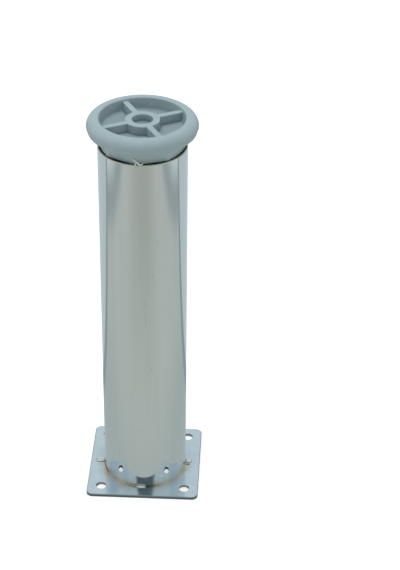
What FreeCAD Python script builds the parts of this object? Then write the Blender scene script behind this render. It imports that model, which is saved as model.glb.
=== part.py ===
import FreeCAD, Part
import math
import os

# Adjustable cabinet leg, standing on its mounting plate with the levelling foot on top.
# Millimetres, +Z up, origin at the centre of the plate's mounting face.

# Heights
overall_height = 200.0
foot_travel = 20.0

# Mounting plate
plate_side = 56.0
plate_thickness = 1.5
plate_corner_r = 3.0
plate_edge = 0.3
screw_spacing = 42.0
screw_hole_d = 5.2

# Tube
tube_od = 41.5
tube_wall = 1.0
tube_edge = 0.2

# Weld tacks in the corner of tube and plate: where each one is, and how far it reaches out
tack_angles = (1.0, 90.0, 180.5, 268.0)
tack_reaches = (3.8, 3.6, 4.9, 1.9)
tack_r = 2.6
tack_height = 1.4
tack_steps = 2

# Levelling foot
foot_d = 51.3
foot_thickness = 8.1
rim_upper_r = 4.4
rim_flank_inset = 0.75
rim_bevel_inset = 1.95
rim_bevel_depth = 1.4
rim_land = 0.9
rim_inner_edge = 0.9
pocket_depth = 5.9
web_drop = 1.25
web_edge = 0.25
hub_d = 16.1
hub_bore_d = 9.7
hub_bore_depth = 4.0
gate_nub_r = 0.9
gate_nub_tip_r = 0.5
gate_nub_height = 0.7
spoke_width = 2.8
spoke_angle = 27.9
spoke_count = 4
collar_d = 19.6
collar_length = 7.0

# Stud with a round head, moulded into the foot
stud_d = 10.0
stud_head_d = 14.0
stud_head_thickness = 2.5
stud_head_below_top = 7.9
stud_chamfer = 1.0
stud_left_in_nut = 3.6

# Nut
nut_flats = 17.0
nut_height = 8.0
nut_chamfer_angle = 30.0

# Octagonal plug pressed into the tube
plug_length = 30.0
plug_stand_out = 5.6
plug_angle = 265.4
plug_sides = 8
plug_wall = 2.2
plug_deck = 3.0
plug_top_edge = 0.5
plug_lead_in = 3.0
plug_lead_in_step = 0.8
plug_boss_d = 25.2
plug_nut_floor = 3.0
plug_web = 2.0
plug_web_length = 22.0
plug_web_count = 4

# Clearances
foot_rest_gap = 0.25
collar_gap = 0.4
collar_end_gap = 0.5
stud_nut_gap = 0.05
stud_foot_gap = 0.08
stud_floor_gap = 0.5
nut_pocket_gap = 0.1

# Sizes that follow from the ones above
tube_r = tube_od / 2
bore_r = tube_r - tube_wall
tube_base = plate_thickness
foot_top = overall_height
foot_under = foot_top - foot_thickness
rim_r = foot_d / 2
flank_end_r = rim_r - rim_flank_inset
bevel_end_r = flank_end_r - rim_bevel_inset
crest_r = rim_r - rim_upper_r
mouth_r = crest_r - rim_land
pocket_r = mouth_r - rim_inner_edge
pocket_floor = foot_top - pocket_depth
web_top = foot_top - web_drop
collar_r = collar_d / 2
collar_end = foot_under - collar_length
plug_top = foot_under - foot_rest_gap
plug_base = plug_top - plug_length
tube_end = plug_top - plug_stand_out
recess_r = collar_r + collar_gap
recess_floor = collar_end - collar_end_gap
nut_top = recess_floor
nut_base = nut_top - nut_height
boss_base = nut_base - plug_nut_floor
stud_r = stud_d / 2
stud_head_r = stud_head_d / 2
stud_top = foot_top - stud_head_below_top
stud_neck = stud_top - stud_head_thickness
stud_end = nut_base - foot_travel - stud_left_in_nut

UP = FreeCAD.Vector(0, 0, 1)
ORIGIN = FreeCAD.Vector(0, 0, 0)


def vec(x, y, z):
    return FreeCAD.Vector(x, y, z)


def cylinder(radius, low, high):
    return Part.makeCylinder(radius, high - low, vec(0, 0, low))


def polygon(corner_r, sides, first_angle, z):
    points = []
    for index in range(sides + 1):
        angle = math.radians(first_angle + 360.0 * (index % sides) / sides)
        points.append(vec(corner_r * math.cos(angle), corner_r * math.sin(angle), z))
    return Part.makePolygon(points)


def prism(corner_r, sides, first_angle, low, high):
    return Part.Face(polygon(corner_r, sides, first_angle, low)).extrude(vec(0, 0, high - low))


def arc(centre, radius, first, last):
    points = []
    for angle in (first, (first + last) / 2, last):
        points.append(centre + vec(radius * math.cos(angle), 0, radius * math.sin(angle)))
    return Part.Arc(*points).toShape()


def turned(edges):
    return Part.Face(Part.Wire(edges)).revolve(ORIGIN, UP, 360)


def turned_outline(points):
    closed = [vec(r, 0, z) for r, z in points]
    closed.append(closed[0])
    return Part.Face(Part.makePolygon(closed)).revolve(ORIGIN, UP, 360)


def bar(length, width, low, high, angle):
    shape = Part.makeBox(length, width, high - low, vec(0, -width / 2, low))
    shape.rotate(ORIGIN, UP, angle)
    return shape


def only_solid(shape):
    shape = shape.removeSplitter()
    return shape.Solids[0] if len(shape.Solids) == 1 else shape


# Square plate with rounded corners and four screw holes
def make_mounting_plate():
    half = plate_side / 2
    plate = Part.makeBox(plate_side, plate_side, plate_thickness, vec(-half, -half, 0))
    corners = [e for e in plate.Edges if abs(e.Vertexes[0].Z - e.Vertexes[1].Z) > plate_thickness / 2]
    plate = plate.makeFillet(plate_corner_r, corners)
    rim = [e for e in plate.Edges if e.BoundBox.ZMin > plate_thickness - 0.001]
    plate = plate.makeChamfer(plate_edge, rim)
    for sx in (-1, 1):
        for sy in (-1, 1):
            centre = vec(sx * screw_spacing / 2, sy * screw_spacing / 2, 0)
            plate = plate.cut(Part.makeCylinder(screw_hole_d / 2, plate_thickness, centre))
    return only_solid(plate)


# Thin-walled tube standing on the plate, its open end deburred
def make_leg_tube():
    return turned_outline([
        (bore_r, tube_base),
        (tube_r, tube_base),
        (tube_r, tube_end - tube_edge),
        (tube_r - tube_edge, tube_end),
        (bore_r + tube_edge, tube_end),
        (bore_r, tube_end - tube_edge),
    ])


# Four rounded lumps of weld metal between tube and plate
def make_weld_tacks():
    outline = [(0, plate_thickness)]
    for index in range(tack_steps + 1):
        angle = math.pi / 2 * index / tack_steps
        outline.append((tack_r * math.cos(angle), plate_thickness + tack_height * math.sin(angle)))
    lumps = []
    for angle, reach in zip(tack_angles, tack_reaches):
        lump = turned_outline(outline)
        lump.translate(vec(tube_r + reach - tack_r, 0, 0))
        lump.rotate(ORIGIN, UP, angle)
        lumps.append(lump.cut(cylinder(tube_r, 0, tube_end)).Solids[0])
    return Part.makeCompound(lumps)


# Eight-sided moulding whose corners grip the bore, with a round recess and a nut pocket
def make_tube_plug():
    lead_top = plug_base + plug_lead_in
    edge_low = plug_top - plug_top_edge
    outline = (plug_sides, plug_angle)
    body = prism(bore_r, *outline, lead_top, edge_low)
    tip = Part.makeLoft([polygon(bore_r - plug_lead_in_step, *outline, plug_base),
                         polygon(bore_r, *outline, lead_top)], True, True)
    crown = Part.makeLoft([polygon(bore_r, *outline, edge_low),
                           polygon(bore_r - plug_top_edge, *outline, plug_top)], True, True)
    body = body.fuse([tip, crown])
    inner_corner_r = bore_r - plug_wall / math.cos(math.pi / plug_sides)
    hollow = prism(inner_corner_r, *outline, plug_base, plug_top - plug_deck)
    hollow = hollow.cut(cylinder(plug_boss_d / 2, boss_base, plug_top))
    for index in range(plug_web_count):
        angle = plug_angle + 360.0 * index / plug_web_count
        hollow = hollow.cut(bar(bore_r, plug_web, plug_top - plug_web_length, plug_top, angle).cut(
            cylinder(plug_boss_d / 4, plug_base, plug_top)))
    body = body.cut(hollow)
    body = body.cut(cylinder(recess_r, recess_floor, plug_top))
    pocket_corner_r = (nut_flats / 2 + nut_pocket_gap) / math.cos(math.pi / 6)
    body = body.cut(prism(pocket_corner_r, 6, plug_angle, nut_base, recess_floor))
    body = body.cut(cylinder(stud_r + stud_floor_gap, boss_base, nut_base))
    return only_solid(body)


# Hexagon nut, chamfered on its upper side, lying on the floor of the plug's pocket
def make_plug_nut():
    corner_r = nut_flats / 2 / math.cos(math.pi / 6)
    drop = (corner_r - nut_flats / 2) * math.tan(math.radians(nut_chamfer_angle))
    rounding = turned_outline([
        (0, nut_base),
        (corner_r, nut_base),
        (corner_r, nut_top - drop),
        (nut_flats / 2, nut_top),
        (0, nut_top),
    ])
    nut = prism(corner_r, 6, plug_angle, nut_base, nut_top).common(rounding)
    return only_solid(nut.cut(cylinder(stud_r + stud_nut_gap, nut_base, nut_top)))


# Stud with its round head up inside the foot and its shank down through the nut
def make_foot_stud():
    return turned_outline([
        (0, stud_end),
        (stud_r - stud_chamfer, stud_end),
        (stud_r, stud_end + stud_chamfer),
        (stud_r, stud_neck),
        (stud_head_r, stud_neck),
        (stud_head_r, stud_top),
        (0, stud_top),
    ])


# Hub and spokes that stand in the foot's recess, a little lower than the rim
def make_foot_web():
    hub = cylinder(hub_d / 2, foot_under, web_top)
    spokes = []
    for index in range(spoke_count):
        angle = spoke_angle + 360.0 * index / spoke_count
        spokes.append(bar(crest_r, spoke_width, foot_under, web_top, angle))
    bore_floor = web_top - hub_bore_depth
    web = only_solid(hub.fuse(spokes)).cut(cylinder(hub_bore_d / 2, bore_floor, web_top))
    top_edges = [e for e in web.Edges if e.BoundBox.ZMin > web_top - 0.001]
    web = web.makeChamfer(web_edge, top_edges)
    return web.fuse(Part.makeCone(gate_nub_r, gate_nub_tip_r, gate_nub_height, vec(0, 0, bore_floor)))


# Round foot: domed rim with a bevelled flank, spoked recess on the floor side, collar round the stud
def make_foot():
    waist = foot_top - rim_upper_r
    edges = [arc(vec(crest_r, 0, waist), rim_upper_r, math.pi / 2, 0)]
    corners = [
        (rim_r, waist),
        (flank_end_r, foot_under + rim_bevel_depth),
        (bevel_end_r, foot_under),
        (collar_r, foot_under),
        (collar_r, collar_end),
        (0, collar_end),
        (0, pocket_floor),
        (pocket_r, pocket_floor),
        (pocket_r, foot_top - rim_inner_edge),
        (mouth_r, foot_top),
        (crest_r, foot_top),
    ]
    for (here_r, here_z), (after_r, after_z) in zip(corners[:-1], corners[1:]):
        edges.append(Part.makeLine(vec(here_r, 0, here_z), vec(after_r, 0, after_z)))
    foot = turned(edges).fuse(make_foot_web())
    gap = stud_foot_gap
    cavity = cylinder(stud_head_r + gap, stud_neck - gap, stud_top + gap)
    cavity = cavity.fuse(cylinder(stud_r + gap, collar_end, stud_neck))
    return only_solid(foot.cut(cavity))


pieces = {
    "mounting_plate": make_mounting_plate(),
    "leg_tube": make_leg_tube(),
    "weld_tacks": make_weld_tacks(),
    "tube_plug": make_tube_plug(),
    "plug_nut": make_plug_nut(),
    "foot_stud": make_foot_stud(),
    "foot": make_foot(),
}

os.makedirs("parts", exist_ok=True)
for name, shape in pieces.items():
    shape.exportStep("parts/" + name + ".step")
    print(name, "solids", len(shape.Solids), "valid", shape.isValid(), "volume", round(shape.Volume, 1))
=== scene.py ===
import math

import bpy
import bmesh
from mathutils import Matrix, Vector


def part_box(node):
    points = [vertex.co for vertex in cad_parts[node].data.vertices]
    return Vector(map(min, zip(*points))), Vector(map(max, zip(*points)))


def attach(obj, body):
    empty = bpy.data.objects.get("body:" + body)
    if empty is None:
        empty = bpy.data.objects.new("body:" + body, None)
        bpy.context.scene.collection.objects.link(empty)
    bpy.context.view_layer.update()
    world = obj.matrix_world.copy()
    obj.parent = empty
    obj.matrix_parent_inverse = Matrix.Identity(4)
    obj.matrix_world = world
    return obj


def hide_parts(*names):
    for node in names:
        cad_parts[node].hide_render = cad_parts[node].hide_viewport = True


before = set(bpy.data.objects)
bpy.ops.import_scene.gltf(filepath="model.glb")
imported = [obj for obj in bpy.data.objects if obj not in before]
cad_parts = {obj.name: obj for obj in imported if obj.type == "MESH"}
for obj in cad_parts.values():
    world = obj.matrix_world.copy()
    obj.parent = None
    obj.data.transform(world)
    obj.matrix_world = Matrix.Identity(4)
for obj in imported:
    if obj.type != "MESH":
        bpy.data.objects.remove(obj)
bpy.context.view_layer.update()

MM = 0.001

# Camera of the photograph, in pixels, millimetres and degrees
IMAGE_LONG_PX = 570
FOCAL_PX = 1624.4
SENSOR_MM = 36.0
CAMERA_DISTANCE = 781.1
CAMERA_PITCH = 32.86
CAMERA_ROLL = 0.77
CAMERA_TURN = 1.99
CAMERA_AIM = (26.98, 0.0, 109.94)

# Sizes read from the frame, in metres
PLATE_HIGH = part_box("mounting_plate")[1]
TUBE_LOW, TUBE_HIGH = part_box("leg_tube")
STUD_LOW, STUD_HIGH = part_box("foot_stud")
FOOT_LOW, FOOT_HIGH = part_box("foot")
PLUG_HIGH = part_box("tube_plug")[1]
PLATE_TOP = PLATE_HIGH[2]
PLATE_HALF = PLATE_HIGH[0]
TUBE_R = TUBE_HIGH[0]
TUBE_BASE = TUBE_LOW[2]
TUBE_END = TUBE_HIGH[2]

# Tube, in metres
TUBE_WALL = 1.0 * MM
TUBE_LIP = 0.25 * MM
TUBE_STEPS = 192
LIP_STEPS = 4
TUBE_SHARP = 40
BORE_R = TUBE_R - TUBE_WALL

# Stud and its thread, in metres
STUD_R = 5.0 * MM
STUD_HEAD = 2.5 * MM
STUD_CHAMFER = 1.0 * MM
THREAD_PITCH = 1.5 * MM
THREAD_DEPTH = 0.8 * MM
THREAD_ROWS_PER_TURN = 8
STUD_STEPS = 64

# Foot, in millimetres and degrees: the moulding of the frame, with its edges rounded
FOOT_TOP = FOOT_HIGH[2] / MM
FOOT_R = FOOT_HIGH[0] / MM
COLLAR_END = FOOT_LOW[2] / MM
COLLAR_R = 9.8
FOOT_UNDER = FOOT_TOP - 8.1
DOME_R = 4.4
FLANK_R = FOOT_R - 0.75
FLANK_RISE = 1.4
BEVEL_R = FLANK_R - 1.95
CREST_R = FOOT_R - DOME_R
CROWN_R = 2.4
CROWN_TURN = 31.0
RECESS_ROUND = 0.3
RECESS_DRAFT = 11.0
RECESS_R = 18.95
RECESS_FLOOR = FOOT_TOP - 5.6
RECESS_FILLET = 1.3
WEB_TOP = FOOT_TOP - 1.25
WEB_EDGE = 0.25
WEB_SUNK = 0.5
HUB_R = 8.05
HUB_BORE_R = 4.85
HUB_BORE_DEPTH = 3.3
BORE_FLOOR = WEB_TOP - HUB_BORE_DEPTH
NUB_R = 0.9
NUB_HEIGHT = 0.7
NUB_STEP = 18
SPOKE_WIDTH = 2.8
SPOKE_ANGLE = 27.9
SPOKE_COUNT = 4
STUD_GAP = 0.08
FOOT_STEPS = 160
HUB_STEPS = 96
ARC_STEPS = 24
EDGE_STEPS = 4
CROWN_STEPS = 8
FILLET_STEPS = 8
DOME_STEPS = 16
FOOT_SHARP = 34
# Distance of the edge loops that keep a flat face flat beside a round edge
SUPPORT = 0.12

# Plug, in millimetres and degrees, with the shares by which its flats bow out towards the bore,
# from its front corner on
PLUG_CORNER_R = 19.72
PLUG_ANGLE = 265.4
PLUG_BOWS = (0.30, 0.65, 0.65, 0.65, 0.65, 0.65, 0.75, 0.30)
PLUG_FLAT_STEPS = 12
PLUG_SKIN = 1.6
PLUG_SKIN_DEPTH = 12.0
PLUG_SKIN_DROP = 0.02
PLUG_TOP_ROUND = 0.5
PLUG_SHARP = 40

# Points closer than this become one, in metres
MERGE_DISTANCE = 0.002 * MM

# Weld lumps: angle round the tube in degrees, reach, half width and height in millimetres, and
# slope of the flanks
WELD_LUMPS = ((3.0, 3.3, 1.9, 0.6, 0.5),
              (90.0, 3.6, 2.0, 0.8, 0.5),
              (180.5, 4.8, 2.2, 0.75, 0.5),
              (268.0, 1.5, 2.3, 0.9, 0.9))
WELD_ROOT = 0.6
WELD_SUNK = 0.05 * MM
# Uneven outline: depth, lobes and phase of each wave
WELD_WAVES = ((0.05, 3, 1), (0.03, 5, 2))
WELD_ROUNDNESS = 0.9
WELD_RISE_AT_TUBE = 1.05
WELD_FALL = 0.2
WELD_STEPS = 40
WELD_ROWS = 10

# Shaving left on the plug where it was driven in: strands of points, with x, y, height above the
# tube's end and width in millimetres
SHAVING = (
    ((-3.1, -19.5, 2.95, 0.16), (-2.3, -19.9, 2.05, 0.40), (-1.6, -20.3, 1.45, 0.52),
     (-0.6, -20.6, 0.95, 0.50), (0.2, -20.8, 0.55, 0.42), (0.8, -20.9, 0.45, 0.34),
     (1.3, -20.8, 0.75, 0.28), (1.7, -20.7, 1.35, 0.12)),
    ((-1.7, -20.4, 1.35, 0.40), (-1.75, -20.8, 0.75, 0.36), (-1.75, -20.9, 0.05, 0.14)),
)
SHAVING_SIDES = 8
SHAVING_FLATNESS = 0.4

# Materials. A noise has its stretch per metre, its detail and perhaps its roughness. A pair of
# colours lies at the ends of NOISE_RANGE, and so does a pair of roughness values, named polish.
# A fade or share has the values from and to which it runs, and perhaps what it is there.
# A bump has its strength and distance.
NOISE_RANGE = (0.30, 0.70)
NOISE_ROUGHNESS = 0.55

TUBE_GRAIN = ((1900, 1900, 25), 3.0, 0.6)
TUBE_STREAKS = ((260, 260, 11), 3.0)
TUBE_CLOUDS = ((50, 50, 22), 3.0)
TUBE_SCRATCHES = ((650, 650, 75), 2.0)
TUBE_PLATING = ((0.688, 0.718, 0.713), (0.708, 0.738, 0.733))
TUBE_STREAK_SHARE = (0.35, 0.75, 0.0, 0.30)
TUBE_STREAK_COLOUR = (0.645, 0.66, 0.64)
TUBE_SCRATCH_SHARE = (0.68, 0.76, 0.0, 0.45)
TUBE_SCRATCH_COLOUR = (0.55, 0.545, 0.52)
TUBE_LIP_FADE = (TUBE_END - 0.5 * MM, TUBE_END - 0.2 * MM)
TUBE_LIP_COLOUR = (0.50, 0.48, 0.41)
TUBE_WALL_FADE = (BORE_R + 0.30 * MM, BORE_R + 0.55 * MM)
# The bore is painted near black: painted shade inside the tube
TUBE_BORE_SHADE_COLOUR = (0.025, 0.03, 0.033)
TUBE_BORE_ROUGHNESS = 0.6
TUBE_POLISH = (0.035, 0.065)
TUBE_BUMP = (0.004, 0.1 * MM)

PLATE_MOTTLE = ((170, 170, 170), 4.0)
PLATE_DRIFT = ((60, 60, 60), 3.0)
PLATE_FINE = ((1100, 1100, 1100), 3.0)
PLATE_ZINC = ((0.585, 0.655, 0.690), (0.645, 0.715, 0.745))
PLATE_FACING = (0.6, 0.95)
PLATE_INNER = (PLATE_HALF - 1.6 * MM, PLATE_HALF - 1.0 * MM, 1.0, 0.0)
PLATE_SIDE_COLOUR = (0.16, 0.175, 0.18)
PLATE_SIDE_ROUGHNESS = 0.5
PLATE_POLISH = (0.06, 0.11)
PLATE_BUMP = (0.03, 0.1 * MM)
HOLE_FROM_AXIS = 29.7 * MM
HOLE_FADE = (HOLE_FROM_AXIS - 0.6 * MM, HOLE_FROM_AXIS + 0.6 * MM)
HOLE_COLOUR = (0.22, 0.235, 0.24)
# Painted shade on the outer walls of the holes, full in the front ones
HOLE_SHADE_COLOUR = (0.05, 0.052, 0.055)

# Heat tint of the plate round the weld, with a ragged edge, wider at one spot. Spots on its top
# have x, y, reach and soft edge in millimetres, and perhaps their share.
HEAT_RAGGED = 0.003
HEAT_SPOT = (-15.5, -16.5, 2.0, 13.0)
HEAT_SPOT_WIDER = 0.8 * MM
HEAT_FRONT = (-2.5 * MM, 1.5 * MM, 1.0, 0.2)
BLUED_FADE = (TUBE_R + 3.0 * MM, TUBE_R + 8.5 * MM, 0.45, 0.0)
BLUED_COLOUR = (0.49, 0.58, 0.665)
BROWN_FADES = ((TUBE_R + 2.0 * MM, TUBE_R + 7.0 * MM, 0.45, 0.0),
               (TUBE_R + 1.2 * MM, TUBE_R + 4.2 * MM, 1.0, 0.0))
BROWN_COLOURS = ((0.47, 0.41, 0.29), (0.57, 0.515, 0.40))
# Blue spots: a painted reflection of the blue surroundings
BLUE_REFLECTION_SPOTS = ((-15.0, -23.0, 1.0, 4.5, 0.8), (19.7, -15.2, 0.5, 4.0, 0.7))
BLUE_REFLECTION_COLOUR = (0.51, 0.60, 0.70)
# Burnt spots along the weld; the last two are a painted shadow under the right weld lump
DARK_SPOTS = ((-14.3, -15.2, 0.1, 0.6), (-14.7, -14.6, 0.1, 0.5), (-8.4, -19.7, 0.1, 0.8),
              (-6.9, -20.3, 0.2, 0.9), (-5.4, -20.8, 0.3, 0.9), (-4.0, -21.2, 0.3, 0.8),
              (2.6, -20.9, 0.4, 0.9), (4.4, -20.6, 0.4, 0.9), (6.2, -20.2, 0.2, 0.9),
              (7.9, -19.6, 0.1, 0.8), (9.6, -18.8, 0.1, 0.6), (21.3, -1.8, 0.6, 0.5),
              (22.4, -1.9, 0.5, 0.5))
DARK_SPOT_SHARE = (0.35, 0.60, 0.25, 0.95)
DARK_SPOT_COLOUR = (0.15, 0.135, 0.10)
CREVICE_FADE = (TUBE_R + 0.15 * MM, TUBE_R + 0.6 * MM, 0.8, 0.0)
CREVICE_LEFT = (-19.0 * MM, -17.0 * MM, 1.0, 0.0)
CREVICE_COLOUR = (0.10, 0.095, 0.08)

WELD_NOISE = ((600, 600, 600), 4.0)
WELD_PALE = ((0.60, 0.62, 0.59), (0.74, 0.75, 0.72))
# Painted shade at the foot of the lumps and against the tube
WELD_ROOT_FADE = (PLATE_TOP + 0.05 * MM, PLATE_TOP + 0.38 * MM)
WELD_TUBE_FADE = (TUBE_R + 0.1 * MM, TUBE_R + 0.5 * MM)
WELD_SHADE_COLOUR = (0.16, 0.145, 0.11)
WELD_POLISH = (0.30, 0.42)
WELD_BUMP = (0.06, 0.4 * MM)

PLASTIC_CLOUDS = ((90, 90, 90), 4.0)
PLASTIC_FINE = ((3200, 3200, 3200), 2.0)
PLASTIC_SPECKS = ((1500, 1500, 1500), 2.0)
PLASTIC_SPECK_SHARE = (0.60, 0.72, 0.0, 0.5)
PLASTIC_SPECK_TONE = 0.86
PLASTIC_SPECULAR = 0.35
PLASTIC_POLISH = (0.50, 0.64)
PLASTIC_BUMP = (0.12, 0.1 * MM)
FOOT_COLOURS = ((0.332, 0.434, 0.463), (0.361, 0.464, 0.492))
PLUG_COLOURS = ((0.39, 0.50, 0.51), (0.42, 0.53, 0.54))
SHAVING_COLOURS = ((0.62, 0.68, 0.68), (0.74, 0.80, 0.80))
# Painted shade on the plug below the tube's end, where it stands inside the tube
PLUG_SHADE_FADE = (TUBE_END - 0.15 * MM, TUBE_END + 0.20 * MM, 1.0, 0.0)
PLUG_SHADE_COLOUR = (0.03, 0.04, 0.036)
# Pale scuffs on the foot: centre, reach and soft edge in millimetres
FOOT_MARKS = (((3.0, 19.2, FOOT_TOP - 3.0), 0.15, 0.35),
              ((2.6, 19.3, FOOT_TOP - 3.3), 0.12, 0.35),
              ((2.1, 19.3, FOOT_TOP - 3.55), 0.10, 0.35))
FOOT_MARK_COLOUR = (0.72, 0.78, 0.80)
# Painted shade in its hollows: heights from and to and radii from and to in millimetres, and share
FOOT_HOLLOW_SHADE = ((RECESS_FLOOR - 0.3, RECESS_FLOOR + 0.2, HUB_BORE_R + 0.5, RECESS_R, 0.42),
             (RECESS_FLOOR, FOOT_TOP - 1.0, RECESS_R - 0.2, RECESS_R + 0.75, 0.30),
             (BORE_FLOOR - 0.3, BORE_FLOOR + 0.1, 0.0, HUB_BORE_R - 0.2, 0.50),
             (BORE_FLOOR, WEB_TOP - 1.0, HUB_BORE_R - 0.1, HUB_BORE_R + 0.2, 0.18))
HOLLOW_SHADE_EDGE = 0.3
HOLLOW_SHADE_FADE = 0.8
HOLLOW_SHADE_TONE = 0.5

STEEL_CLOUDS = ((400, 400, 400), 4.0)
STEEL_COLOURS = ((0.46, 0.49, 0.51), (0.58, 0.61, 0.63))
STEEL_POLISH = (0.22, 0.36)

# Floor, in metres: the camera sees it pale, and white further off
FLOOR_REACH = 3.0
FLOOR_DROP = 0.05 * MM
FLOOR_COLOUR = (0.80, 0.81, 0.80, 1)
FLOOR_GLOW = 0.50
FLOOR_FADE = (0.6, 1.6)

# Light field that the bright metal mirrors: a table with dark edges before a pale backdrop, in
# metres. Side and back have where the dark edge runs in from and to, and then the backdrop.
# In front, round this centre below the camera, the table darkens: the camera's painted shadow
FRONT_CENTRE = (0.0, -0.42, 0.0)
FRONT_STRETCH = (1.6, 1.0, 0.0)
TABLE_FRONT = (0.09, 0.40)
FRONT_SHADOW_COLOUR = (0.445, 0.482, 0.440)
TABLE_COLOUR = (0.556, 0.594, 0.572)
# Behind, the table darkens, most of all close behind the leg: the leg's painted shadow
TABLE_REAR = (-0.10, 0.055)
REAR_REACH = (0.06, 0.17)
REAR_FAR = 0.3
REAR_SHADOW_COLOUR = (0.43, 0.505, 0.507)
TABLE_TAPER = 0.05
TABLE_SIDE = (0.240, 0.300, 0.304, 0.378)
SIDE_EDGE = (0.380, 0.440, 0.452)
SIDE_BACKDROP = (0.73, 0.79, 0.79)
TABLE_BACK = (0.050, 0.065, 0.073, 0.088)
BACK_EDGE = (0.285, 0.355, 0.385)
BACKDROP = (0.560, 0.655, 0.695)
BACK_SKEW = 0.005
BACK_SKEW_REACH = 0.11
UNDER_PLATE = 0.0275
UNDER_PLATE_COLOUR = (1.0, 1.0, 1.0)
# Sky above it, with panels at these azimuths in degrees
SKY = (0.71, 0.80, 0.84)
SKY_PANELS = ((168.0, (0.60, 0.71, 0.805)), (4.0, (0.62, 0.735, 0.815)))
PANEL_EDGE = (0.70, 0.755)
# Dark card at the camera
CAMERA_SHADE_WIDTH = 0.68
CAMERA_SHADE_HEIGHT = 0.07
CAMERA_SHADE_COLOUR = (0.085, 0.13, 0.15, 1)
CAMERA_SHADE_SURFACE = (0.03, 0.033, 0.035, 1)
CAMERA_SHADE_ROUGHNESS = 0.9

# Lamps: name, place in metres, power, and size in metres or spread in degrees
LIT_POINT = (0.0, 0.0, 0.15)
LAMPS = (("key", (-0.10, 0.20, 1.35), 12.0, {"size": 1.0}),
         ("front_fill", (0.0, -1.3, 0.30), 0.48, {"spread": 40}),
         ("left_fill", (-1.2, -0.35, 0.45), 0.616, {"spread": 35}),
         ("right_fill", (1.2, -0.35, 0.45), 0.616, {"spread": 35}))
WORLD_COLOUR = (1, 1, 1, 1)
AMBIENT = 0.22


# Shader nodes of one tree
class Nodes:
    def __init__(self, tree):
        self.tree = tree

    def add(self, kind, **settings):
        node = self.tree.nodes.new(kind)
        for key, value in settings.items():
            setattr(node, key, value)
        return node

    def feed(self, node, socket, value):
        if isinstance(value, bpy.types.NodeSocket):
            self.tree.links.new(value, node.inputs[socket])
        else:
            node.inputs[socket].default_value = value

    def math(self, operation, *values):
        node = self.add("ShaderNodeMath", operation=operation)
        for index, value in enumerate(values):
            self.feed(node, index, value)
        return node.outputs["Value"]

    def vector(self, operation, *values):
        node = self.add("ShaderNodeVectorMath", operation=operation)
        for index, value in enumerate(values):
            self.feed(node, index, value)
        return node.outputs["Vector" if operation == "MULTIPLY" else "Value"]

    def spread(self, value, from_low, from_high, low=0.0, high=1.0):
        node = self.add("ShaderNodeMapRange", interpolation_type="SMOOTHSTEP")
        self.feed(node, "Value", value)
        self.feed(node, "From Min", from_low)
        self.feed(node, "From Max", from_high)
        self.feed(node, "To Min", low)
        self.feed(node, "To Max", high)
        return node.outputs["Result"]

    def mix(self, factor, first, second):
        node = self.add("ShaderNodeMix", data_type="RGBA")
        self.feed(node, "Factor", factor)
        for socket, colour in (("A", first), ("B", second)):
            self.feed(node, socket, (*colour, 1.0) if isinstance(colour, tuple) else colour)
        return node.outputs["Result"]

    def choose(self, factor, first, second):
        node = self.add("ShaderNodeMixShader")
        self.feed(node, "Fac", factor)
        self.feed(node, 1, first)
        self.feed(node, 2, second)
        return node.outputs["Shader"]


# Nodes of one material, from its object's own coordinates to its surface
class Shading(Nodes):
    def __init__(self, name, metallic=0.0):
        self.material = bpy.data.materials.new(name)
        self.material.use_nodes = True
        super().__init__(self.material.node_tree)
        self.shader = self.tree.nodes["Principled BSDF"]
        self.shader.inputs["Metallic"].default_value = metallic
        self.place = self.add("ShaderNodeTexCoord").outputs["Object"]

    def noise(self, stretch, detail, roughness=NOISE_ROUGHNESS):
        mapping = self.add("ShaderNodeMapping")
        self.feed(mapping, "Vector", self.place)
        self.feed(mapping, "Scale", stretch)
        texture = self.add("ShaderNodeTexNoise")
        self.feed(texture, "Vector", mapping.outputs["Vector"])
        self.feed(texture, "Scale", 1.0)
        self.feed(texture, "Detail", detail)
        self.feed(texture, "Roughness", roughness)
        return texture.outputs["Fac"]

    def shades(self, factor, colours):
        node = self.add("ShaderNodeValToRGB")
        for element, place, colour in zip(node.color_ramp.elements, NOISE_RANGE, colours):
            element.position = place
            element.color = (*colour, 1.0)
        self.feed(node, "Fac", factor)
        return node.outputs["Color"]

    def part(self, axis, vector=None):
        node = self.add("ShaderNodeSeparateXYZ")
        self.feed(node, "Vector", vector or self.place)
        return node.outputs[axis]

    def from_axis(self):
        return self.vector("LENGTH", self.vector("MULTIPLY", self.place, (1, 1, 0)))

    # Half the side of the square about the axis that passes through a point
    def from_centre(self):
        sides = [self.math("ABSOLUTE", self.part(axis)) for axis in "XY"]
        return self.math("MAXIMUM", *sides)

    def spot(self, centre, reach, soft):
        away = self.vector("DISTANCE", self.place, tuple(value * MM for value in centre))
        return self.spread(away, reach * MM, (reach + soft) * MM, 1.0, 0.0)

    def bump(self, height, strength, distance):
        node = self.add("ShaderNodeBump")
        self.feed(node, "Strength", strength)
        self.feed(node, "Distance", distance)
        self.feed(node, "Height", height)
        self.feed(self.shader, "Normal", node.outputs["Normal"])

    def surface(self, colour, roughness):
        self.feed(self.shader, "Base Color", colour)
        self.feed(self.shader, "Roughness", roughness)
        return self.material


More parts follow.
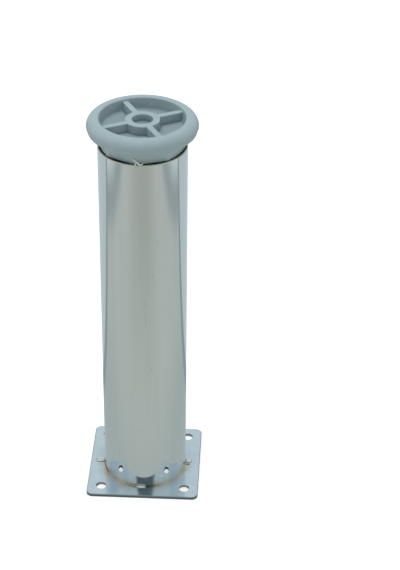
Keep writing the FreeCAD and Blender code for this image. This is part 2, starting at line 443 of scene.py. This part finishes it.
# Bright plated tube: drawn grain outside, a worn lip, and a dull bore painted near black as shade
def tube_metal():
    nodes = Shading("plated_tube", 1.0)
    grain = nodes.noise(*TUBE_GRAIN)
    streaks = nodes.spread(nodes.noise(*TUBE_STREAKS), *TUBE_STREAK_SHARE)
    scratches = nodes.spread(nodes.noise(*TUBE_SCRATCHES), *TUBE_SCRATCH_SHARE)
    plating = nodes.shades(grain, TUBE_PLATING)
    plating = nodes.mix(streaks, plating, TUBE_STREAK_COLOUR)
    plating = nodes.mix(scratches, plating, TUBE_SCRATCH_COLOUR)
    plating = nodes.mix(nodes.spread(nodes.part("Z"), *TUBE_LIP_FADE), plating, TUBE_LIP_COLOUR)
    wall = nodes.spread(nodes.from_axis(), *TUBE_WALL_FADE)
    colour = nodes.mix(wall, TUBE_BORE_SHADE_COLOUR, plating)
    polish = nodes.spread(nodes.noise(*TUBE_CLOUDS), *NOISE_RANGE, *TUBE_POLISH)
    dull = nodes.math("SUBTRACT", TUBE_BORE_ROUGHNESS, wall)
    nodes.bump(grain, *TUBE_BUMP)
    return nodes.surface(colour, nodes.math("MAXIMUM", polish, dull))


def plate_spot(nodes, x, y, reach, soft):
    return nodes.spot((x, y, PLATE_TOP / MM), reach, soft)


# Zinc-plated plate: dull sheared sides, whose dark colour also covers the slope of the top edge as
# painted shade; heat-browned and blued round the weld, with burnt spots, a painted shadow under
# the right weld lump, painted blue reflections and a dark crevice, and painted shade in the front
# holes
def plate_metal():
    nodes = Shading("plated_plate", 1.0)
    mottle = nodes.noise(*PLATE_MOTTLE)
    fine = nodes.noise(*PLATE_FINE)
    colour = nodes.shades(mottle, PLATE_ZINC)
    wider = nodes.math("MULTIPLY", plate_spot(nodes, *HEAT_SPOT), -HEAT_SPOT_WIDER)
    ragged = nodes.math("MULTIPLY_ADD", mottle, HEAT_RAGGED, nodes.from_axis())
    away = nodes.math("ADD", wider, ragged)
    colour = nodes.mix(nodes.spread(away, *BLUED_FADE), colour, BLUED_COLOUR)
    brown = nodes.shades(mottle, BROWN_COLOURS)
    front = nodes.spread(nodes.part("Y"), *HEAT_FRONT)
    for fade in BROWN_FADES:
        heat = nodes.math("MULTIPLY", nodes.spread(away, *fade), front)
        colour = nodes.mix(heat, colour, brown)
    # Painted reflection of the blue surroundings
    for *spot, share in BLUE_REFLECTION_SPOTS:
        tint = nodes.math("MULTIPLY", plate_spot(nodes, *spot), share)
        colour = nodes.mix(tint, colour, BLUE_REFLECTION_COLOUR)
    # Burnt spots, and a painted shadow under the right weld lump
    spot_speckle = nodes.spread(fine, *DARK_SPOT_SHARE)
    for spot in DARK_SPOTS:
        tint = nodes.math("MULTIPLY", plate_spot(nodes, *spot), spot_speckle)
        colour = nodes.mix(tint, colour, DARK_SPOT_COLOUR)
    crevice = nodes.math("MULTIPLY", nodes.spread(nodes.from_axis(), *CREVICE_FADE),
                         nodes.spread(nodes.part("X"), *CREVICE_LEFT))
    colour = nodes.mix(crevice, colour, CREVICE_COLOUR)
    # Painted shade on the outer walls of the holes
    hole_shade = nodes.math("MULTIPLY", front, nodes.spread(nodes.from_axis(), *HOLE_FADE))
    bored = nodes.mix(hole_shade, HOLE_COLOUR, HOLE_SHADE_COLOUR)
    inner = nodes.spread(nodes.from_centre(), *PLATE_INNER)
    side_colour = nodes.mix(inner, PLATE_SIDE_COLOUR, bored)
    # Faces that don't face up take the side colour, so the slope of the top edge is mostly dark:
    # painted shade
    normal = nodes.add("ShaderNodeNewGeometry").outputs["Normal"]
    top = nodes.spread(nodes.part("Z", normal), *PLATE_FACING)
    colour = nodes.mix(top, side_colour, colour)
    polish = nodes.spread(nodes.noise(*PLATE_DRIFT), *NOISE_RANGE, *PLATE_POLISH)
    dull = nodes.math("SUBTRACT", PLATE_SIDE_ROUGHNESS, top)
    nodes.bump(fine, *PLATE_BUMP)
    return nodes.surface(colour, nodes.math("MAXIMUM", polish, dull))


# Pale plated weld lumps, with painted shade where they meet the plate and the tube
def weld_metal():
    nodes = Shading("weld_metal", 1.0)
    lumps = nodes.noise(*WELD_NOISE)
    # Painted shade where the lumps meet the plate and the tube
    clear = nodes.math("MULTIPLY", nodes.spread(nodes.part("Z"), *WELD_ROOT_FADE),
                       nodes.spread(nodes.from_axis(), *WELD_TUBE_FADE))
    colour = nodes.mix(clear, WELD_SHADE_COLOUR, nodes.shades(lumps, WELD_PALE))
    nodes.bump(lumps, *WELD_BUMP)
    return nodes.surface(colour, nodes.spread(lumps, *NOISE_RANGE, *WELD_POLISH))


# Moulded plastic with a fine spark-eroded texture, scuffed by marks, with painted shade in its
# hollows and where it stands inside the tube
def moulded_plastic(name, colours, marks=(), hollow_shade=(), inside=None):
    nodes = Shading(name)
    nodes.shader.inputs["Specular IOR Level"].default_value = PLASTIC_SPECULAR
    fine = nodes.noise(*PLASTIC_FINE)
    dark = colours[0]
    colour = nodes.shades(nodes.noise(*PLASTIC_CLOUDS), colours)
    specks = nodes.spread(nodes.noise(*PLASTIC_SPECKS), *PLASTIC_SPECK_SHARE)
    colour = nodes.mix(specks, colour, tuple(value * PLASTIC_SPECK_TONE for value in dark))
    for mark in marks:
        colour = nodes.mix(nodes.spot(*mark), colour, FOOT_MARK_COLOUR)
    height, away = nodes.part("Z"), nodes.from_axis()
    # Painted shade: each layer darkens a hollow of the moulding
    for low, high, inner, outer, share in hollow_shade:
        layer = nodes.spread(height, (low - HOLLOW_SHADE_EDGE) * MM, low * MM, 0.0, share)
        for limit in (nodes.spread(height, high * MM, (high + HOLLOW_SHADE_FADE) * MM, 1.0, 0.0),
                      nodes.spread(away, (inner - HOLLOW_SHADE_EDGE) * MM, inner * MM),
                      nodes.spread(away, outer * MM, (outer + HOLLOW_SHADE_EDGE) * MM, 1.0, 0.0)):
            layer = nodes.math("MULTIPLY", layer, limit)
        colour = nodes.mix(layer, colour, tuple(value * HOLLOW_SHADE_TONE for value in dark))
    # Painted shade on the plug inside the tube
    if inside is not None:
        colour = nodes.mix(nodes.spread(height, *inside), colour, PLUG_SHADE_COLOUR)
    nodes.bump(fine, *PLASTIC_BUMP)
    return nodes.surface(colour, nodes.spread(fine, *NOISE_RANGE, *PLASTIC_POLISH))


# Zinc-plated fastener steel
def fastener_steel():
    nodes = Shading("fastener_steel", 1.0)
    clouds = nodes.noise(*STEEL_CLOUDS)
    colour = nodes.shades(clouds, STEEL_COLOURS)
    return nodes.surface(colour, nodes.spread(clouds, *NOISE_RANGE, *STEEL_POLISH))


def dress(node, material):
    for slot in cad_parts[node].material_slots:
        slot.material = material


# Meshes
def add_mesh(name, build, material, sharp_from=None):
    mesh = bpy.data.meshes.new(name)
    work = bmesh.new()
    build(work)
    bmesh.ops.recalc_face_normals(work, faces=work.faces)
    for face in work.faces:
        face.smooth = True
    work.to_mesh(mesh)
    work.free()
    if sharp_from is not None:
        mesh.set_sharp_from_angle(angle=math.radians(sharp_from))
    piece = bpy.data.objects.new(name, mesh)
    bpy.context.collection.objects.link(piece)
    mesh.materials.append(material)
    return piece


# Pairs of neighbours in a list that closes on itself
def around(items):
    return zip(items, items[1:] + items[:1])


def ring_of(work, radius, z, steps):
    turn = 2 * math.pi / steps
    angles = [step * turn for step in range(steps)]
    return [work.verts.new((radius * math.cos(angle), radius * math.sin(angle), z))
            for angle in angles]


# Rings of a profile in millimetres, where a ring on the axis is a single point
def profile_rings(work, profile, steps):
    rings = []
    for radius, z in profile:
        if radius > 0:
            rings.append(ring_of(work, radius * MM, z * MM, steps))
        else:
            rings.append([work.verts.new((0, 0, z * MM))])
    return rings


# Rings of an outline in millimetres, one for each inset and height
def outline_rings(work, outline, rows):
    return [[work.verts.new((x * MM, y * MM, z * MM)) for x, y in outline(inset)]
            for inset, z in rows]


def bridge(work, low, high):
    for (here_low, after_low), (here_high, after_high) in zip(around(low), around(high)):
        work.faces.new((here_low, after_low, after_high, here_high))


def join_rings(work, low, high):
    if len(low) == len(high) > 1:
        bridge(work, low, high)
    elif len(low) != len(high):
        centre, ring = (low[0], high) if len(low) == 1 else (high[0], low)
        for here, after in around(ring):
            work.faces.new((centre, here, after))


# Rings joined one to the next, with both ends closed
def skin_rings(work, rings):
    work.faces.new(rings[0])
    for low, high in zip(rings, rings[1:]):
        bridge(work, low, high)
    work.faces.new(rings[-1])


# Profile points of a round, from one angle to another
def round_points(centre_r, centre_z, radius, first, last, steps):
    points = []
    for step in range(steps + 1):
        angle = math.radians(first + (last - first) * step / steps)
        points.append((centre_r + radius * math.cos(angle),
                       centre_z + radius * math.sin(angle)))
    return points


# Insets and heights of a rounded upper edge
def edge_rows(top, radius):
    return [(radius - across, top - radius + rise)
            for across, rise in round_points(0.0, 0.0, radius, 0, 90, EDGE_STEPS)]


# Tube with a fine round wall and a rolled-over lip at its open end
def tube_mesh(work):
    lip_base = TUBE_END - 2 * TUBE_LIP
    profile = [(BORE_R, TUBE_BASE), (TUBE_R, TUBE_BASE), (TUBE_R, lip_base)]
    for centre_r, first, last in ((TUBE_R - TUBE_LIP, 0, 90), (BORE_R + TUBE_LIP, 90, 180)):
        profile += round_points(centre_r, TUBE_END - TUBE_LIP, TUBE_LIP, first, last, LIP_STEPS)
    profile.append((BORE_R, lip_base))
    rings = [ring_of(work, radius, z, TUBE_STEPS) for radius, z in profile]
    for low, high in around(rings):
        bridge(work, low, high)


# Round body of the foot: rim, floor of the recess, collar and the stud's seat
def dish_mesh(work):
    seat_r = STUD_R / MM + STUD_GAP
    head_r = STUD_HIGH[0] / MM + STUD_GAP
    head_top = STUD_HIGH[2] / MM + STUD_GAP
    head_base = (STUD_HIGH[2] - STUD_HEAD) / MM - STUD_GAP
    profile = [(seat_r, COLLAR_END), (COLLAR_R, COLLAR_END), (COLLAR_R, FOOT_UNDER),
               (BEVEL_R, FOOT_UNDER), (FLANK_R, FOOT_UNDER + FLANK_RISE)]
    profile += round_points(CREST_R, FOOT_TOP - DOME_R, DOME_R, 0, 90, DOME_STEPS)
    slope = 90 + CROWN_TURN
    crown = round_points(CREST_R, FOOT_TOP - CROWN_R, CROWN_R, 90, slope, CROWN_STEPS)
    profile += crown[1:]
    crown_r, crown_z = crown[-1]
    mouth = round_points(crown_r - RECESS_ROUND * math.cos(math.radians(slope)),
                         crown_z - RECESS_ROUND * math.sin(math.radians(slope)),
                         RECESS_ROUND, slope, 180 - RECESS_DRAFT, EDGE_STEPS)
    profile += mouth[1:]
    mouth_r, mouth_z = mouth[-1]
    profile.append((mouth_r - SUPPORT * math.tan(math.radians(RECESS_DRAFT)), mouth_z - SUPPORT))
    fillet_r = RECESS_R - RECESS_FILLET
    profile += round_points(fillet_r, RECESS_FLOOR + RECESS_FILLET, RECESS_FILLET,
                            -RECESS_DRAFT, -90, FILLET_STEPS)
    profile += [(fillet_r - SUPPORT, RECESS_FLOOR), (0, RECESS_FLOOR), (0, head_top),
                (head_r, head_top), (head_r, head_base), (seat_r, head_base)]
    for low, high in around(profile_rings(work, profile, FOOT_STEPS)):
        join_rings(work, low, high)


# Outline of hub and spokes, drawn in by an inset
def web_outline(inset):
    half = SPOKE_WIDTH / 2 - inset
    hub_r = HUB_R - inset
    root = math.sqrt(hub_r ** 2 - half ** 2)
    corner = math.atan2(half, root)
    pitch = 2 * math.pi / SPOKE_COUNT
    points = []
    for index in range(SPOKE_COUNT):
        turn = math.radians(SPOKE_ANGLE) + index * pitch
        x, y = math.cos(turn), math.sin(turn)
        for reach, side in ((root, -half), (CREST_R, -half), (CREST_R, half)):
            points.append((reach * x - side * y, reach * y + side * x))
        for step in range(ARC_STEPS):
            angle = turn + corner + (pitch - 2 * corner) * step / ARC_STEPS
            points.append((hub_r * math.cos(angle), hub_r * math.sin(angle)))
    return points


# Hub with its blind hole and gate nub, and spokes that run into the rim
def web_mesh(work):
    rows = [(0.0, RECESS_FLOOR - WEB_SUNK), (0.0, WEB_TOP - WEB_EDGE - SUPPORT)]
    rows += edge_rows(WEB_TOP, WEB_EDGE)
    rows.append((WEB_EDGE + SUPPORT, WEB_TOP))
    rings = outline_rings(work, web_outline, rows)
    for low, high in zip(rings, rings[1:]):
        bridge(work, low, high)
    work.faces.new(rings[0])
    hole_r = HUB_BORE_R + WEB_EDGE
    hole = [(hole_r + SUPPORT, WEB_TOP)]
    hole += round_points(hole_r, WEB_TOP - WEB_EDGE, WEB_EDGE, 90, 180, EDGE_STEPS)
    hole += [(HUB_BORE_R, BORE_FLOOR + SUPPORT), (HUB_BORE_R, BORE_FLOOR),
             (HUB_BORE_R - SUPPORT, BORE_FLOOR), (NUB_R + SUPPORT, BORE_FLOOR)]
    for degrees in range(0, 90, NUB_STEP):
        lift = math.radians(degrees)
        hole.append((NUB_R * math.cos(lift), BORE_FLOOR + NUB_HEIGHT * math.sin(lift)))
    hole.append((0.0, BORE_FLOOR + NUB_HEIGHT))
    inside = profile_rings(work, hole, HUB_STEPS)
    for low, high in zip(inside, inside[1:]):
        join_rings(work, low, high)
    rim = [work.edges.get(pair) for ring in (rings[-1], inside[0]) for pair in around(ring)]
    bmesh.ops.triangle_fill(work, edges=rim, use_beauty=True)


# Two closed meshes as one piece
def join(piece, other, sharp_from):
    union = piece.modifiers.new("union", "BOOLEAN")
    union.operation = "UNION"
    union.solver = "EXACT"
    union.object = other
    bpy.context.view_layer.update()
    graph = bpy.context.evaluated_depsgraph_get()
    joined = bpy.data.meshes.new_from_object(piece.evaluated_get(graph))
    piece.modifiers.remove(union)
    piece.data = joined
    bpy.data.objects.remove(other)
    work = bmesh.new()
    work.from_mesh(joined)
    bmesh.ops.remove_doubles(work, verts=work.verts, dist=MERGE_DISTANCE)
    bmesh.ops.dissolve_degenerate(work, edges=work.edges, dist=MERGE_DISTANCE)
    work.to_mesh(joined)
    work.free()
    for face in joined.polygons:
        face.use_smooth = True
    joined.set_sharp_from_angle(angle=math.radians(sharp_from))


# Foot as one moulding: its round body and its web joined
def add_foot(material):
    dish = add_mesh("moulded_foot", dish_mesh, material)
    join(dish, add_mesh("foot_web", web_mesh, material), FOOT_SHARP)
    return dish


# Outline of the plug with its flats bowed out, drawn in by an inset
def plug_outline(inset):
    points = []
    flat = 2 * math.pi / len(PLUG_BOWS)
    apothem = PLUG_CORNER_R * math.cos(flat / 2)
    for side, bow in enumerate(PLUG_BOWS):
        for step in range(PLUG_FLAT_STEPS):
            share = step / PLUG_FLAT_STEPS
            chord = apothem / math.cos(flat * (share - 0.5))
            radius = chord + (PLUG_CORNER_R - chord) * bow - inset
            angle = math.radians(PLUG_ANGLE) + flat * (side + share)
            points.append((radius * math.cos(angle), radius * math.sin(angle)))
    return points


# Bowed skin on the upper part of the plug
def plug_skin_mesh(work):
    top = PLUG_HIGH[2] / MM - PLUG_SKIN_DROP
    base = top - PLUG_SKIN_DEPTH
    rows = [(PLUG_SKIN, base), (0.0, base), (0.0, top - PLUG_TOP_ROUND - SUPPORT)]
    rows += edge_rows(top, PLUG_TOP_ROUND)
    rows.append((PLUG_SKIN, top))
    for low, high in around(outline_rings(work, plug_outline, rows)):
        bridge(work, low, high)


# Plug as in the frame, with the skin joined to it
def add_plug(material):
    def copy(work):
        work.from_mesh(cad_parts["tube_plug"].data)
        bmesh.ops.remove_doubles(work, verts=work.verts, dist=MERGE_DISTANCE)
    plug = add_mesh("moulded_plug", copy, material)
    plug.data.materials.clear()
    plug.data.materials.append(material)
    join(plug, add_mesh("plug_skin", plug_skin_mesh, material), PLUG_SHARP)
    return plug


# Stud with its thread cut as a right-hand helix below a round head
def stud_mesh(work):
    head_r = STUD_HIGH[0]
    neck = STUD_HIGH[2] - STUD_HEAD
    length = neck - STUD_LOW[2]
    rows = int(length / THREAD_PITCH * THREAD_ROWS_PER_TURN)
    rings = []
    for row in range(rows + 1):
        z = STUD_LOW[2] + length * row / rows
        tip = min(1.0, (z - STUD_LOW[2]) / STUD_CHAMFER)
        ring = []
        for index in range(STUD_STEPS):
            angle = 2 * math.pi * index / STUD_STEPS
            phase = ((z - STUD_LOW[2]) / THREAD_PITCH - index / STUD_STEPS) % 1.0
            groove = 1.0 - abs(2.0 * phase - 1.0)
            radius = min(STUD_R - THREAD_DEPTH * groove, STUD_R - STUD_CHAMFER * (1.0 - tip))
            ring.append(work.verts.new((radius * math.cos(angle), radius * math.sin(angle), z)))
        rings.append(ring)
    for z in (neck, STUD_HIGH[2]):
        rings.append(ring_of(work, head_r, z, STUD_STEPS))
    skin_rings(work, rings)


# Low weld lumps run out from the tube over the plate
def weld_mesh(work):
    for angle, reach, half_width, height, slope in WELD_LUMPS:
        turn = math.radians(angle)
        out = Vector((math.cos(turn), math.sin(turn), 0))
        side = Vector((-math.sin(turn), math.cos(turn), 0))
        middle = (reach - WELD_ROOT) / 2
        half_length = (reach + WELD_ROOT) / 2
        rings = []
        for row in range(WELD_ROWS):
            lift = math.pi / 2 * row / WELD_ROWS
            inset = math.cos(lift) ** slope
            ring = []
            for index in range(WELD_STEPS):
                way = 2 * math.pi * index / WELD_STEPS
                waver = 1.0
                for depth, lobes, phase in WELD_WAVES:
                    waver += depth * math.sin(lobes * way + phase * angle)
                along = middle + half_length * inset * waver * math.cos(way)
                across = half_width * inset * waver * math.sin(way)
                rise = (height * math.sin(lift) ** WELD_ROUNDNESS
                        * (WELD_RISE_AT_TUBE - WELD_FALL * along / reach))
                base = out * (TUBE_R + along * MM) + side * (across * MM)
                ring.append(work.verts.new((base.x, base.y, PLATE_TOP - WELD_SUNK + rise * MM)))
            rings.append(ring)
        skin_rings(work, rings)


# Thin forked shaving
def shaving_mesh(work):
    for strand in SHAVING:
        rings = []
        for index, (x, y, rise, width) in enumerate(strand):
            centre = Vector((x, y, TUBE_END / MM + rise))
            before = Vector(strand[max(index - 1, 0)][:3])
            after = Vector(strand[min(index + 1, len(strand) - 1)][:3])
            along = (after - before).normalized()
            across = along.cross(Vector((0, -1, 0))).normalized()
            outward = across.cross(along)
            ring = []
            for step in range(SHAVING_SIDES):
                angle = 2 * math.pi * step / SHAVING_SIDES
                offset = (across * (width * math.cos(angle))
                          + outward * (SHAVING_FLATNESS * width * math.sin(angle)))
                ring.append(work.verts.new((centre + offset) * MM))
            rings.append(ring)
        skin_rings(work, rings)


# Stage and light
def add_card(name, corners, material):
    def face(work):
        work.faces.new([work.verts.new(corner) for corner in corners])
    return add_mesh(name, face, material)


# Corners of a card about its middle
def card_corners(half_x, half_y, z):
    return [(-half_x, -half_y, z), (half_x, -half_y, z), (half_x, half_y, z), (-half_x, half_y, z)]


# Colours of the table, turned to the camera, that the metal mirrors
def mirrored_table(nodes):
    mapping = nodes.add("ShaderNodeMapping")
    nodes.feed(mapping, "Vector", nodes.place)
    nodes.feed(mapping, "Rotation", (0, 0, -math.radians(CAMERA_TURN)))
    turned = mapping.outputs["Vector"]
    sideways, depth = nodes.part("X", turned), nodes.part("Y", turned)
    across = nodes.math("ABSOLUTE", sideways)
    stretched = nodes.vector("MULTIPLY", turned, FRONT_STRETCH)
    forward = nodes.vector("DISTANCE", stretched, FRONT_CENTRE)
    # Painted shadow of the camera on the table in front
    table = nodes.mix(nodes.spread(forward, *TABLE_FRONT), FRONT_SHADOW_COLOUR, TABLE_COLOUR)
    # Painted shadow of the leg on the table behind it
    rear_shadow = nodes.math("MULTIPLY", nodes.spread(depth, *TABLE_REAR),
                      nodes.spread(across, *REAR_REACH, 1.0, REAR_FAR))
    table = nodes.mix(rear_shadow, table, REAR_SHADOW_COLOUR)
    tapered = nodes.math("MULTIPLY_ADD", depth, TABLE_TAPER, across)
    skew = nodes.spread(sideways, -BACK_SKEW_REACH, BACK_SKEW_REACH, -BACK_SKEW, BACK_SKEW)
    behind = nodes.math("SUBTRACT", depth, skew)
    for place, limits, edge, pale in ((tapered, TABLE_SIDE, SIDE_EDGE, SIDE_BACKDROP),
                                      (behind, TABLE_BACK, BACK_EDGE, BACKDROP)):
        table = nodes.mix(nodes.spread(place, *limits[:2]), table, edge)
        table = nodes.mix(nodes.spread(place, *limits[2:]), table, pale)
    under = nodes.math("LESS_THAN", nodes.from_centre(), UNDER_PLATE)
    return nodes.mix(under, table, UNDER_PLATE_COLOUR)


def add_floor():
    nodes = Shading("floor")
    nodes.tree.nodes.remove(nodes.shader)
    mirrored = nodes.add("ShaderNodeEmission")
    nodes.feed(mirrored, "Color", mirrored_table(nodes))
    path = nodes.add("ShaderNodeLightPath")
    fade = nodes.spread(nodes.from_axis(), *FLOOR_FADE, FLOOR_GLOW, 1.0)
    glow = nodes.add("ShaderNodeEmission")
    nodes.feed(glow, "Strength", nodes.math("MULTIPLY", path.outputs["Is Camera Ray"], fade))
    diffuse = nodes.add("ShaderNodeBsdfDiffuse")
    nodes.feed(diffuse, "Color", FLOOR_COLOUR)
    seen = nodes.add("ShaderNodeAddShader")
    nodes.feed(seen, 0, diffuse.outputs["BSDF"])
    nodes.feed(seen, 1, glow.outputs["Emission"])
    surface = nodes.choose(path.outputs["Is Glossy Ray"], seen.outputs["Shader"],
                           mirrored.outputs["Emission"])
    nodes.feed(nodes.tree.nodes["Material Output"], "Surface", surface)
    corners = card_corners(FLOOR_REACH, FLOOR_REACH, -FLOOR_DROP)
    card = add_card("floor", corners, nodes.material)


# Dark card at the camera, which only the metal mirrors
def add_camera_shade():
    nodes = Shading("camera_shade")
    nodes.surface(CAMERA_SHADE_SURFACE, CAMERA_SHADE_ROUGHNESS)
    nodes.feed(nodes.shader, "Emission Color", CAMERA_SHADE_COLOUR)
    nodes.feed(nodes.shader, "Emission Strength", 1.0)
    matrix = bpy.context.scene.camera.matrix_world
    corners = card_corners(CAMERA_SHADE_WIDTH / 2, CAMERA_SHADE_HEIGHT / 2, 0)
    card = add_card("camera_shade", [matrix @ Vector(corner) for corner in corners], nodes.material)
    card.visible_camera = False
    card.visible_diffuse = False
    card.visible_shadow = False
    card.visible_transmission = False


# A soft lamp with a size, or a wide fill that reaches the floor evenly, neither mirrored
def add_light(name, place, power, size=None, spread=None):
    lamp = bpy.data.lights.new(name, "AREA" if size else "SUN")
    if size:
        lamp.size = size
    else:
        lamp.angle = math.radians(spread)
    lamp.energy = power
    light = bpy.data.objects.new(name, lamp)
    light.location = place
    direction = Vector(LIT_POINT) - Vector(place)
    light.rotation_euler = direction.to_track_quat("-Z", "Y").to_euler()
    bpy.context.collection.objects.link(light)
    light.visible_glossy = False


# White for the camera, a weak white light for the part, and a blue sky for what it mirrors
def add_world():
    world = bpy.data.worlds.new("studio")
    world.use_nodes = True
    bpy.context.scene.world = world
    nodes = Nodes(world.node_tree)
    path = nodes.add("ShaderNodeLightPath")
    backdrop = nodes.tree.nodes["Background"]
    nodes.feed(backdrop, "Color", WORLD_COLOUR)
    brightness = nodes.spread(path.outputs["Is Camera Ray"], 0.0, 1.0, AMBIENT, 1.0)
    nodes.feed(backdrop, "Strength", brightness)
    way = nodes.add("ShaderNodeTexCoord").outputs["Generated"]
    sky = SKY
    for azimuth, colour in SKY_PANELS:
        turn = math.radians(azimuth)
        toward = nodes.vector("DOT_PRODUCT", way, (math.cos(turn), math.sin(turn), 0))
        sky = nodes.mix(nodes.spread(toward, *PANEL_EDGE), sky, colour)
    mirrored = nodes.add("ShaderNodeBackground")
    nodes.feed(mirrored, "Color", sky)
    through = nodes.math("MAXIMUM", path.outputs["Is Glossy Ray"],
                         path.outputs["Is Transmission Ray"])
    surface = nodes.choose(through, backdrop.outputs["Background"], mirrored.outputs["Background"])
    nodes.feed(nodes.tree.nodes["World Output"], "Surface", surface)


def add_camera():
    pitch = math.radians(CAMERA_PITCH)
    roll = math.radians(CAMERA_ROLL)
    forward = Vector((0, math.cos(pitch), -math.sin(pitch)))
    right = Vector((1, 0, 0))
    up = right.cross(forward)
    rolled_right = right * math.cos(roll) + up * math.sin(roll)
    rolled_up = up * math.cos(roll) - right * math.sin(roll)
    axes = Matrix((rolled_right, rolled_up, -forward)).transposed().to_4x4()
    centre = (Vector(CAMERA_AIM) - forward * CAMERA_DISTANCE) * MM
    lens = bpy.data.cameras.new("camera")
    lens.sensor_width = SENSOR_MM
    lens.lens = FOCAL_PX / IMAGE_LONG_PX * SENSOR_MM
    camera = bpy.data.objects.new("camera", lens)
    turn = Matrix.Rotation(math.radians(CAMERA_TURN), 4, "Z")
    camera.matrix_world = turn @ Matrix.Translation(centre) @ axes
    bpy.context.collection.objects.link(camera)
    bpy.context.scene.camera = camera


foot_plastic = moulded_plastic("foot_plastic", FOOT_COLOURS, marks=FOOT_MARKS, hollow_shade=FOOT_HOLLOW_SHADE)
plug_plastic = moulded_plastic("plug_plastic", PLUG_COLOURS, inside=PLUG_SHADE_FADE)
steel = fastener_steel()
dress("mounting_plate", plate_metal())
dress("plug_nut", steel)

plug = add_plug(plug_plastic)
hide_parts("tube_plug")
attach(plug, "leg")

foot = add_foot(foot_plastic)
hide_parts("foot")
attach(foot, "foot")

tube = add_mesh("bright_tube", tube_mesh, tube_metal(), TUBE_SHARP)
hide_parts("leg_tube")
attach(tube, "leg")

stud = add_mesh("threaded_stud", stud_mesh, steel)
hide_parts("foot_stud")
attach(stud, "stud")

welds = add_mesh("weld_lumps", weld_mesh, weld_metal())
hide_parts("weld_tacks")
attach(welds, "leg")

pale_plastic = moulded_plastic("shaving_plastic", SHAVING_COLOURS)
shaving = add_mesh("plug_shaving", shaving_mesh, pale_plastic)
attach(shaving, "leg")

add_floor()
add_world()
for name, place, power, form in LAMPS:
    add_light(name, place, power, **form)
add_camera()
add_camera_shade()
bpy.context.scene.view_settings.view_transform = "Standard"
